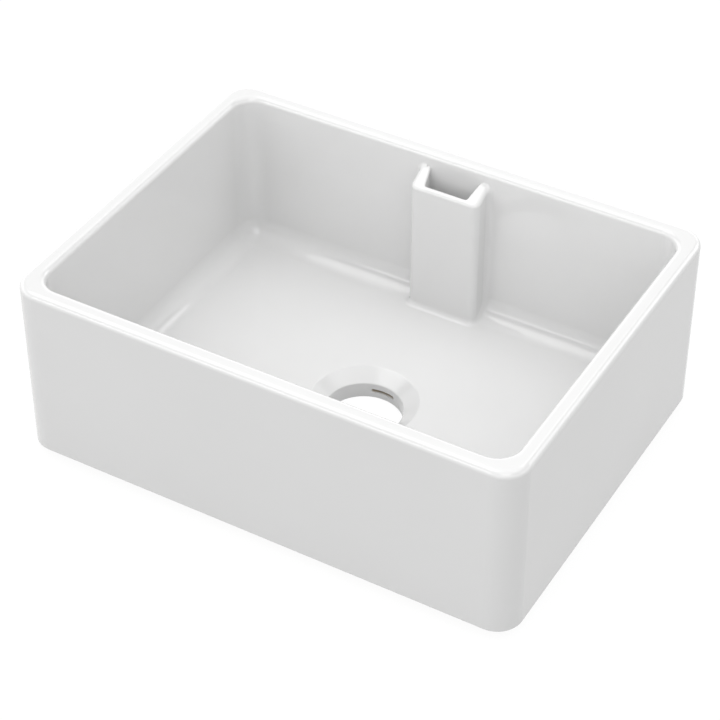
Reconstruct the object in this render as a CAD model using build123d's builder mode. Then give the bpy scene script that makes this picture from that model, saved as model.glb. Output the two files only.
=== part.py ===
"""Belfast sink: a glazed fireclay basin with an overflow weir inside its back wall.

X runs along the front, +Y from front to back and +Z up. The origin is on the outlet's axis, at the
lower face of the outlet boss. All sizes are in millimetres.
"""
import os
from math import cos, radians, tan

from build123d import *

os.makedirs("parts", exist_ok=True)

# Basin
length = 595.0
width = 450.0
wall_height = 215.0
wall = 20.7
corner_radius = 29.0
bowl_cove = 24.0
bowl_corner_easing = 2.0
rim_outer_roll = 7.5
rim_inner_roll = 7.5

# Floor and outlet
floor_thickness = 17.0
floor_fall = 1.5
fall_margin = 8.0
dish_radius = 61.5
dish_depth = 11.8
dish_edge_roll = 4.0
outlet_radius = 44.45
outlet_depth = 19.2
outlet_edge_roll = 2.0

# Overflow weir
weir_width = 86.0
weir_projection = 28.3
weir_corner = 8.5
weir_drop = 16.7
weir_slope = 24.0
weir_roll = 5.0
weir_cove = 6.5
weir_front_wall = 6.5
chamber_back_width = 62.0
chamber_front_width = 53.0
chamber_corner = 3.0
mouth_roll = 2.0
luting_step = 1.5

# Overflow route under the floor
boss_wall = 21.5
spigot_width = 52.0
spigot_reach = 6.0
slot_width = 29.0
slot_height = 4.6
slot_below_base = 4.6
duct_wall = 7.0
duct_bottom = 5.0
underside_bevel = 3.0

# Levels, from the boss's lower face up
base_z = outlet_depth + dish_depth - floor_thickness
outlet_top_z = outlet_depth
dish_z = base_z + floor_thickness
floor_z = dish_z + floor_fall
rim_z = base_z + wall_height

# Plan positions
back_y = width / 2 - wall
weir_front_y = back_y - weir_projection
chamber_front_y = weir_front_y + weir_front_wall
fall_radius = weir_front_y - weir_cove - fall_margin
boss_radius = outlet_radius + boss_wall
spigot_y = boss_radius + spigot_reach
duct_end_y = back_y + duct_wall
bowl_corner = bowl_cove + bowl_corner_easing

# Joint planes between the basin and the weir
joint_y = back_y - weir_cove - luting_step
joint_z = floor_z + bowl_cove + luting_step

# The sloping plane of the weir's mouth, through its highest line at the back wall
mouth_plane = Plane(
    origin=(0, back_y, rim_z - weir_drop),
    x_dir=(1, 0, 0),
    z_dir=(0, -tan(radians(weir_slope)), 1),
)


def tapered_outline(front_width, front_y, back_width, end_y):
    """Plan outline whose width changes evenly from front to back."""
    return Polygon(
        (-front_width / 2, front_y),
        (front_width / 2, front_y),
        (back_width / 2, end_y),
        (-back_width / 2, end_y),
        align=None,
    )


# Weir before its chamber is cut: a block let into the back wall and the floor
with BuildPart() as weir_block:
    block_depth = weir_projection + wall / 2
    with BuildSketch(Plane.XY.offset(base_z + floor_thickness / 2)):
        with Locations((0, weir_front_y + block_depth / 2)):
            block_plan = Rectangle(weir_width, block_depth)
        fillet(block_plan.vertices().group_by(Axis.Y)[0], weir_corner)
    extrude(amount=wall_height)
    split(bisect_by=mouth_plane, keep=Keep.BOTTOM)
    mouth_edges = faces().sort_by(Axis.Z)[-1].edges()
    fillet(mouth_edges.sort_by(Axis.Y)[:-1], weir_roll)

# Chamber of the weir, flared at its mouth, open down through the floor
with BuildPart() as chamber:
    widening = (chamber_back_width - chamber_front_width) / (back_y - chamber_front_y)
    past_wall = wall / 2
    chamber_end_width = chamber_back_width + widening * past_wall
    with BuildSketch(Plane.XY.offset(base_z)):
        chamber_plan = tapered_outline(
            chamber_front_width, chamber_front_y, chamber_end_width, back_y + past_wall
        )
        fillet(chamber_plan.vertices().group_by(Axis.Y)[0], chamber_corner)
    extrude(amount=wall_height)
    split(bisect_by=mouth_plane.offset(mouth_roll), keep=Keep.BOTTOM)
    flare_reach = 2 * mouth_roll
    slope_stretch = 1 / cos(radians(weir_slope))
    slab_end_width = chamber_back_width + widening * wall
    with BuildSketch(mouth_plane):
        tapered_outline(
            chamber_front_width + 2 * flare_reach,
            (chamber_front_y - back_y) * slope_stretch - flare_reach,
            slab_end_width + 2 * flare_reach,
            wall * slope_stretch,
        )
    extrude(amount=weir_drop)
    fillet(edges(Select.NEW).sort_by(Axis.Y)[:-1], mouth_roll)
    split(bisect_by=Plane.XZ.offset(-back_y), keep=Keep.TOP)

# Floor's gentle fall, the conical dish and the outlet, as one turned cut
with BuildPart() as outlet_cut:
    with BuildSketch(Plane.XZ):
        with BuildLine():
            TangentArc((fall_radius, floor_z), (dish_radius, dish_z), tangent=(-1, 0))
            Line((dish_radius, dish_z), (outlet_radius, outlet_top_z))
            Polyline(
                (outlet_radius, outlet_top_z),
                (outlet_radius, base_z),
                (0, base_z),
                (0, floor_z),
                (fall_radius, floor_z),
            )
        make_face()
        fillet(vertices().sort_by_distance((dish_radius, dish_z))[0], dish_edge_roll)
        fillet(vertices().sort_by_distance((outlet_radius, outlet_top_z))[0], outlet_edge_roll)
    revolve(axis=Axis.Z)

# Whole casting, before the weir's luted joints divide it
with BuildPart() as casting:
    with BuildSketch(Plane.XY.offset(base_z)):
        RectangleRounded(length, width, corner_radius)
    extrude(amount=wall_height)
    with BuildSketch(Plane.XY.offset(floor_z)):
        RectangleRounded(length - 2 * wall, width - 2 * wall, bowl_corner)
    extrude(amount=rim_z - floor_z, mode=Mode.SUBTRACT)
    fillet(edges(Select.LAST).group_by(Axis.Z)[0], bowl_cove)
    rim = faces().sort_by(Axis.Z)[-1]
    fillet(rim.outer_wire().edges(), rim_outer_roll)
    rim = faces().sort_by(Axis.Z)[-1]
    fillet(rim.inner_wires()[0].edges(), rim_inner_roll)
    add(weir_block.part)
    fillet(edges(Select.NEW), weir_cove)
    add(outlet_cut.part, mode=Mode.SUBTRACT)
    add(chamber.part, mode=Mode.SUBTRACT)

# Space in front of the luted joints, which only the weir's front and sides reach into
with BuildPart() as weir_space:
    space_width = weir_width + 2 * (weir_cove + luting_step)
    with BuildSketch(Plane.XY.offset(joint_z)):
        with Locations((0, joint_y - weir_projection / 2)):
            Rectangle(space_width, weir_projection)
    extrude(amount=rim_z - joint_z)

with BuildPart() as basin:
    add(casting.part)
    add(weir_space.part, mode=Mode.SUBTRACT)

with BuildPart() as weir_box:
    add(casting.part)
    add(weir_space.part, mode=Mode.INTERSECT)

# Ring under the floor that lengthens the outlet, with a flat spigot for the duct
with BuildPart() as outlet_boss:
    with BuildSketch():
        Circle(boss_radius)
        with Locations((0, spigot_y / 2)):
            Rectangle(spigot_width, spigot_y)
    extrude(amount=base_z)
    chamfer(faces().sort_by(Axis.Z)[0].edges().sort_by(Axis.Y)[:-1], underside_bevel)
    with BuildSketch():
        Circle(outlet_radius)
    extrude(amount=base_z, mode=Mode.SUBTRACT)
    with BuildSketch(Plane.XZ.offset(-spigot_y)):
        with Locations((0, base_z - slot_below_base)):
            SlotOverall(slot_width, slot_height)
    extrude(amount=spigot_y, mode=Mode.SUBTRACT)

# Trough under the floor, closed above by the floor's underside
with BuildPart() as overflow_duct:
    with BuildSketch():
        tapered_outline(spigot_width, spigot_y, chamber_back_width + 2 * duct_wall, duct_end_y)
    extrude(amount=base_z)
    chamfer(faces().sort_by(Axis.Z)[0].edges().sort_by(Axis.Y)[1:], underside_bevel)
    with BuildSketch(Plane.XY.offset(duct_bottom)):
        tapered_outline(slot_width, spigot_y, chamber_back_width, back_y)
    extrude(amount=base_z - duct_bottom, mode=Mode.SUBTRACT)

pieces = {
    "basin": basin,
    "weir_box": weir_box,
    "outlet_boss": outlet_boss,
    "overflow_duct": overflow_duct,
}
for name, piece in pieces.items():
    piece.part.label = name
    export_step(piece.part, f"parts/{name}.step")
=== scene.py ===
"""Looks of the belfast sink: white glazed fireclay under a soft overhead studio light, on a white floor.

Every length is in metres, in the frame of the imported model: X along the front, +Y to the back, +Z up.
"""
import math

import bpy
from mathutils import Matrix, Vector


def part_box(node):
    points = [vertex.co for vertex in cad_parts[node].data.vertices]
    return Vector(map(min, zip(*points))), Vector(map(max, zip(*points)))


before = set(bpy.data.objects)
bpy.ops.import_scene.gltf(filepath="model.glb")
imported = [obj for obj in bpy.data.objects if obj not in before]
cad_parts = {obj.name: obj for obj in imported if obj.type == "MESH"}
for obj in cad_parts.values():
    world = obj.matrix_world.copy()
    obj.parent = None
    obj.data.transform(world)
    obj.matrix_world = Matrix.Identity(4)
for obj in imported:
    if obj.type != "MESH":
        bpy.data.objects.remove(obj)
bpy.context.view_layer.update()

# Camera, solved from the straight edges of the sink in the photograph
CAMERA_PLACE = Vector((0.9707, -1.6833, 1.7203))
CAMERA_LOOK = Vector((-0.3842, 0.6630, -0.6426))
CAMERA_UP = Vector((-0.3218, 0.5562, 0.7662))
CAMERA_LENS = 116.06
CAMERA_SENSOR = 36.0

# Soft light on the sink: a dome that leans to the front left, a wide lamp overhead and a dark flag on the right
DOME_LEVEL = 1.05
DOME_LEAN = (-0.27, -0.25, 0.04)
OVERHEAD_AIM = Vector((0.40, -0.11, 1.0))
OVERHEAD_SPREAD = 58.0
OVERHEAD_LEVEL = 0.79
FLAG_AIM = Vector((1.62, -0.90, 0.25))
FLAG_SPREAD = 60.0
FLAG_LEVEL = -0.27
SOFT_CORE = 0.2

# The studio that the glaze mirrors: its level by height in degrees, and its softboxes, each with its bearing
# from the back, height and half angle in degrees, level, and the share of the half angle that is evenly lit
STUDIO_BY_HEIGHT = {0: 1.0, 7: 2.1, 14: 2.1, 25: 0.8, 31: 0.0, 42: 0.0, 52: 0.4, 70: 0.8, 90: 0.7}
SOFTBOXES = {
    "large box, front left": (246, 62, 25, 1.5, 0.5),
    "strip, front": (206, 21, 12, 1.7, 0.6),
    "box, back right": (30, 24, 18, 2.1, 0.35),
    "fill, back": (341, 34, 28, 0.65, 0.35),
    "small box, back": (4, 50, 12, 1.5, 0.35),
    "box, right": (70, 62, 18, 0.6, 0.35),
    "box beside the camera": (146, 42, 23, 2.1, 0.35),
}

# White surroundings
WHITE = (1.0, 1.0, 1.0, 1.0)
FLOOR_WIDTH = 14.0
BACKDROP_HEIGHT = 2.0
BACKDROP_SIDES = 64
WHITE_GLOW = 0.94
WHITE_SHADE = 0.07
FLOOR_PAINT = 0.34

# Glaze: faint clouds in its colour and gloss, and a ripple; each scale is that of a noise texture
NOISE_MIDDLE = (0.3, 0.7)
GLAZE_THICK = (0.731, 0.731, 0.730)
GLAZE_THIN = (0.719, 0.719, 0.717)
GLAZE_IOR = 1.65
GLAZE_CLOUD_SCALE = 7.0
GLAZE_THIN_ROUGHNESS = 0.045
GLAZE_THICK_ROUGHNESS = 0.035
RIPPLE_SCALE = 55.0
RIPPLE_HEIGHT = 0.00001

# Bare fireclay: mottled buff with rusty grog and a sandy skin
CLAY_PALE = (0.60, 0.53, 0.42)
CLAY_DARK = (0.50, 0.42, 0.32)
CLAY_MOTTLE_SCALE = 38.0
CLAY_ROUGHNESS = 0.85
GROG_RUST = (0.30, 0.19, 0.11)
GROG_SCALE = 330.0
GROG_EDGE = (0.30, 0.16)
GROG_PATCH_SCALE = 120.0
GROG_PATCH_EDGE = (0.52, 0.60)
SAND_SCALE = 900.0
SAND_HEIGHT = 0.0004

# Where the glaze ends: a wavering band along the foot, and just outside the outlet's bore
FACING_DOWN = (-0.80, -0.95)
FOOT_GLAZE_BAND = 0.010
FOOT_GLAZE_WOBBLE = 0.004
FOOT_WOBBLE_SCALE = 45.0
BORE_GLAZE_RADIUS = 0.0465
BORE_GLAZE_WOBBLE = 0.001
BORE_WOBBLE_SCALE = 60.0
GLAZE_EDGE = 0.0005

# Sockets of the colour mix, whose first and second colour and result share their names with other sockets
MIX_FIRST, MIX_SECOND, MIX_RESULT = 6, 7, 2


class Nodes:
    """A node tree with short calls for the nodes that the finishes share."""

    def __init__(self, tree):
        self.tree = tree
        tree.nodes.clear()

    def add(self, kind, links=None, **settings):
        node = self.tree.nodes.new(kind)
        for name, value in settings.items():
            setattr(node, name, value)
        for socket, value in (links or {}).items():
            if isinstance(value, bpy.types.NodeSocket):
                self.tree.links.new(value, node.inputs[socket])
            else:
                node.inputs[socket].default_value = value
        return node

    def math(self, operation, first, second=0.0):
        return self.add("ShaderNodeMath", {0: first, 1: second}, operation=operation).outputs[0]

    def noise(self, place, scale, detail):
        links = {"Vector": place, "Scale": scale, "Detail": detail}
        return self.add("ShaderNodeTexNoise", links).outputs["Fac"]

    def span(self, value, low, high, to_low=0.0, to_high=1.0):
        """Carry a value from one span to another, held at both ends."""
        links = {"Value": value, "From Min": low, "From Max": high, "To Min": to_low, "To Max": to_high}
        return self.add("ShaderNodeMapRange", links).outputs["Result"]

    def fade(self, share, first, second):
        """Colour that goes from the first to the second."""
        colours = {0: share, MIX_FIRST: as_rgba(first), MIX_SECOND: as_rgba(second)}
        return self.add("ShaderNodeMix", colours, data_type="RGBA").outputs[MIX_RESULT]


def as_rgba(colour):
    return colour if isinstance(colour, bpy.types.NodeSocket) else (*colour, 1.0)


def new_material(name):
    material = bpy.data.materials.new(name)
    material.use_nodes = True
    return material, Nodes(material.node_tree)


def glaze_pattern(nodes, place):
    """Colour, roughness and height of the glaze: faint clouds, and the ripple of a dipped coat."""
    cloud = nodes.span(nodes.noise(place, GLAZE_CLOUD_SCALE, detail=3.0), *NOISE_MIDDLE)
    colour = nodes.fade(cloud, GLAZE_THIN, GLAZE_THICK)
    rough = nodes.span(cloud, 0.0, 1.0, GLAZE_THIN_ROUGHNESS, GLAZE_THICK_ROUGHNESS)
    ripple = nodes.span(nodes.noise(place, RIPPLE_SCALE, detail=1.0), 0.0, 1.0, 0.0, RIPPLE_HEIGHT)
    return colour, rough, ripple


def clay_pattern(nodes, place):
    """Colour and height of the bare fired body: buff clay with rusty grog and a sandy skin."""
    mottle = nodes.span(nodes.noise(place, CLAY_MOTTLE_SCALE, detail=4.0), *NOISE_MIDDLE)
    body = nodes.fade(mottle, CLAY_DARK, CLAY_PALE)
    cells = nodes.add("ShaderNodeTexVoronoi", {"Vector": place, "Scale": GROG_SCALE}).outputs["Distance"]
    speck = nodes.span(cells, *GROG_EDGE)
    patch = nodes.span(nodes.noise(place, GROG_PATCH_SCALE, detail=2.0), *GROG_PATCH_EDGE)
    colour = nodes.fade(nodes.math("MULTIPLY", speck, patch), body, GROG_RUST)
    sand = nodes.span(nodes.noise(place, SAND_SCALE, detail=3.0), 0.0, 1.0, 0.0, SAND_HEIGHT)
    return colour, sand


def partly_glazed(name, find_bare):
    """White glaze, and bare fireclay where the given function says."""
    material, nodes = new_material(name)
    place = nodes.add("ShaderNodeTexCoord").outputs["Object"]
    bare = find_bare(nodes, place)
    glaze, gloss, ripple = glaze_pattern(nodes, place)
    clay, sand = clay_pattern(nodes, place)
    height = nodes.span(bare, 0.0, 1.0, ripple, sand)
    links = {
        "Base Color": nodes.fade(bare, glaze, clay),
        "Roughness": nodes.span(bare, 0.0, 1.0, gloss, CLAY_ROUGHNESS),
        "IOR": GLAZE_IOR,
        "Normal": nodes.add("ShaderNodeBump", {"Height": height, "Distance": 1.0}).outputs["Normal"],
    }
    shader = nodes.add("ShaderNodeBsdfPrincipled", links).outputs["BSDF"]
    nodes.add("ShaderNodeOutputMaterial", {"Surface": shader})
    return material


def bare_under_basin(nodes, place):
    """The underside, short of a band along the foot where the glaze laps round unevenly."""
    normal = nodes.add("ShaderNodeNewGeometry").outputs["Normal"]
    down = nodes.span(nodes.add("ShaderNodeSeparateXYZ", {0: normal}).outputs["Z"], *FACING_DOWN)
    low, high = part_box("basin")
    across = nodes.add("ShaderNodeSeparateXYZ", {0: place}).outputs
    margin_x = nodes.math("SUBTRACT", (high[0] - low[0]) / 2, nodes.math("ABSOLUTE", across["X"]))
    margin_y = nodes.math("SUBTRACT", (high[1] - low[1]) / 2, nodes.math("ABSOLUTE", across["Y"]))
    waver = nodes.noise(place, FOOT_WOBBLE_SCALE, detail=3.0)
    wobble = nodes.span(waver, 0.0, 1.0, -FOOT_GLAZE_WOBBLE, FOOT_GLAZE_WOBBLE)
    margin = nodes.math("ADD", nodes.math("MINIMUM", margin_x, margin_y), wobble)
    inside = nodes.span(margin, FOOT_GLAZE_BAND - GLAZE_EDGE, FOOT_GLAZE_BAND + GLAZE_EDGE)
    return nodes.math("MULTIPLY", down, inside)


def bare_round_outlet(nodes, place):
    """The boss's outside and lower face, while its bore is glazed."""
    flat = nodes.add("ShaderNodeVectorMath", {0: place, 1: (1.0, 1.0, 0.0)}, operation="MULTIPLY").outputs[0]
    radius = nodes.add("ShaderNodeVectorMath", {0: flat}, operation="LENGTH").outputs["Value"]
    waver = nodes.noise(place, BORE_WOBBLE_SCALE, detail=2.0)
    wobble = nodes.span(waver, 0.0, 1.0, -BORE_GLAZE_WOBBLE, BORE_GLAZE_WOBBLE)
    reach = nodes.math("ADD", radius, wobble)
    return nodes.span(reach, BORE_GLAZE_RADIUS - GLAZE_EDGE, BORE_GLAZE_RADIUS + GLAZE_EDGE)


def bare_fireclay():
    """The duct's finish: no glaze at all."""
    material, nodes = new_material("bare_fireclay")
    place = nodes.add("ShaderNodeTexCoord").outputs["Object"]
    clay, sand = clay_pattern(nodes, place)
    bump = nodes.add("ShaderNodeBump", {"Height": sand, "Distance": 1.0}).outputs["Normal"]
    links = {"Base Color": clay, "Roughness": CLAY_ROUGHNESS, "Normal": bump}
    shader = nodes.add("ShaderNodeBsdfPrincipled", links).outputs["BSDF"]
    nodes.add("ShaderNodeOutputMaterial", {"Surface": shader})
    return material


def white_surroundings():
    """White to the eye and in reflections, with the sink's soft shadow, and grey to its diffuse light."""
    material, nodes = new_material("white_surroundings")
    light = nodes.add("ShaderNodeLightPath").outputs
    seen = nodes.math("MAXIMUM", light["Is Camera Ray"], light["Is Glossy Ray"])
    seen = nodes.math("MAXIMUM", seen, light["Is Transmission Ray"])
    glow = nodes.add("ShaderNodeEmission", {"Color": WHITE, "Strength": WHITE_GLOW}).outputs[0]
    shade = nodes.add("ShaderNodeBsdfDiffuse", {"Color": as_rgba((WHITE_SHADE,) * 3)}).outputs[0]
    shown = nodes.add("ShaderNodeAddShader", {0: glow, 1: shade}).outputs[0]
    paint = nodes.add("ShaderNodeBsdfDiffuse", {"Color": as_rgba((FLOOR_PAINT,) * 3)}).outputs[0]
    mixed = nodes.add("ShaderNodeMixShader", {0: seen, 1: paint, 2: shown}).outputs[0]
    nodes.add("ShaderNodeOutputMaterial", {"Surface": mixed})
    return material


def add_stage_mesh(name, points, faces, material):
    mesh = bpy.data.meshes.new(name)
    mesh.from_pydata(points, [], faces)
    mesh.materials.append(material)
    stage = bpy.data.objects.new(name, mesh)
    bpy.context.scene.collection.objects.link(stage)
    return stage


def add_floor_and_backdrop():
    """A round floor, with a low wall round it that only the eye sees."""
    white = white_surroundings()
    rim = []
    for step in range(BACKDROP_SIDES):
        turn = 2 * math.pi * step / BACKDROP_SIDES
        rim.append((math.cos(turn) * FLOOR_WIDTH / 2, math.sin(turn) * FLOOR_WIDTH / 2))
    low = [(x, y, 0.0) for x, y in rim]
    high = [(x, y, BACKDROP_HEIGHT) for x, y in rim]
    add_stage_mesh("floor", low, [tuple(range(BACKDROP_SIDES))], white)
    walls = []
    for step in range(BACKDROP_SIDES):
        after = (step + 1) % BACKDROP_SIDES
        walls.append((after, step, BACKDROP_SIDES + step, BACKDROP_SIDES + after))
    backdrop = add_stage_mesh("backdrop", low + high, walls, white)
    backdrop.visible_diffuse = False
    backdrop.visible_glossy = False
    backdrop.visible_shadow = False


def cone_of_light(nodes, direction, aim, half_angle, level, core):
    """Light that is even in a core round its aim and fades out at its half angle."""
    near = nodes.add("ShaderNodeVectorMath", {0: direction, 1: aim.normalized()}, operation="DOT_PRODUCT")
    links = {
        "Value": near.outputs["Value"],
        "From Min": math.cos(math.radians(half_angle)),
        "From Max": math.cos(math.radians(half_angle * core)),
        "To Max": level,
    }
    return nodes.add("ShaderNodeMapRange", links, interpolation_type="SMOOTHSTEP").outputs["Result"]


def soft_light(nodes, direction):
    """Level of the light that falls on the sink from each direction."""
    lean = nodes.add("ShaderNodeVectorMath", {0: direction, 1: DOME_LEAN}, operation="DOT_PRODUCT")
    level = nodes.math("MULTIPLY", nodes.math("ADD", lean.outputs["Value"], 1.0), DOME_LEVEL)
    overhead = cone_of_light(nodes, direction, OVERHEAD_AIM, OVERHEAD_SPREAD, OVERHEAD_LEVEL, SOFT_CORE)
    flag = cone_of_light(nodes, direction, FLAG_AIM, FLAG_SPREAD, FLAG_LEVEL, SOFT_CORE)
    return nodes.math("ADD", level, nodes.math("ADD", overhead, flag))


def mirrored_studio(nodes, direction):
    """Level of what the glaze mirrors in each direction."""
    up = nodes.add("ShaderNodeSeparateXYZ", {0: direction}).outputs["Z"]
    height = nodes.math("DIVIDE", nodes.math("ARCSINE", up), math.pi / 2)
    ramp = nodes.add("ShaderNodeValToRGB", {"Fac": height})
    stops = ramp.color_ramp.elements
    while len(stops) < len(STUDIO_BY_HEIGHT):
        stops.new(0.5)
    brightest = max(STUDIO_BY_HEIGHT.values())
    for stop, (degrees, level) in zip(stops, STUDIO_BY_HEIGHT.items()):
        stop.position = degrees / 90
        stop.color = as_rgba((level / brightest,) * 3)
    total = nodes.math("MULTIPLY", ramp.outputs["Color"], brightest)
    for bearing, height, half_angle, level, core in SOFTBOXES.values():
        level_way = math.cos(math.radians(height))
        aim = Vector((
            math.sin(math.radians(bearing)) * level_way,
            math.cos(math.radians(bearing)) * level_way,
            math.sin(math.radians(height)),
        ))
        total = nodes.math("ADD", total, cone_of_light(nodes, direction, aim, half_angle, level, core))
    return total


def add_studio_light():
    """A world that lights the sink softly, and shows its glaze a studio with softboxes."""
    world = bpy.data.worlds.new("studio")
    world.use_nodes = True
    nodes = Nodes(world.node_tree)
    direction = nodes.add("ShaderNodeTexCoord").outputs["Generated"]
    fallen = {"Color": WHITE, "Strength": soft_light(nodes, direction)}
    soft = nodes.add("ShaderNodeBackground", fallen).outputs[0]
    shown = {"Color": WHITE, "Strength": mirrored_studio(nodes, direction)}
    studio = nodes.add("ShaderNodeBackground", shown).outputs[0]
    glossy = nodes.add("ShaderNodeLightPath").outputs["Is Glossy Ray"]
    mixed = nodes.add("ShaderNodeMixShader", {0: glossy, 1: soft, 2: studio}).outputs[0]
    nodes.add("ShaderNodeOutputWorld", {"Surface": mixed})
    bpy.context.scene.world = world


def add_camera():
    data = bpy.data.cameras.new("camera")
    data.lens = CAMERA_LENS
    data.sensor_width = CAMERA_SENSOR
    camera = bpy.data.objects.new("camera", data)
    right = CAMERA_LOOK.cross(CAMERA_UP).normalized()
    back = -CAMERA_LOOK.normalized()
    turn = Matrix((right, back.cross(right), back)).transposed()
    camera.matrix_world = Matrix.Translation(CAMERA_PLACE) @ turn.to_4x4()
    bpy.context.scene.collection.objects.link(camera)
    bpy.context.scene.camera = camera


def dress(node, material):
    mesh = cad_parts[node].data
    mesh.materials.clear()
    mesh.materials.append(material)


basin_glaze = partly_glazed("white_glaze", bare_under_basin)
dress("basin", basin_glaze)
dress("weir_box", basin_glaze)
dress("outlet_boss", partly_glazed("glazed_bore", bare_round_outlet))
dress("overflow_duct", bare_fireclay())
add_floor_and_backdrop()
add_studio_light()
add_camera()
bpy.context.scene.view_settings.view_transform = "Standard"
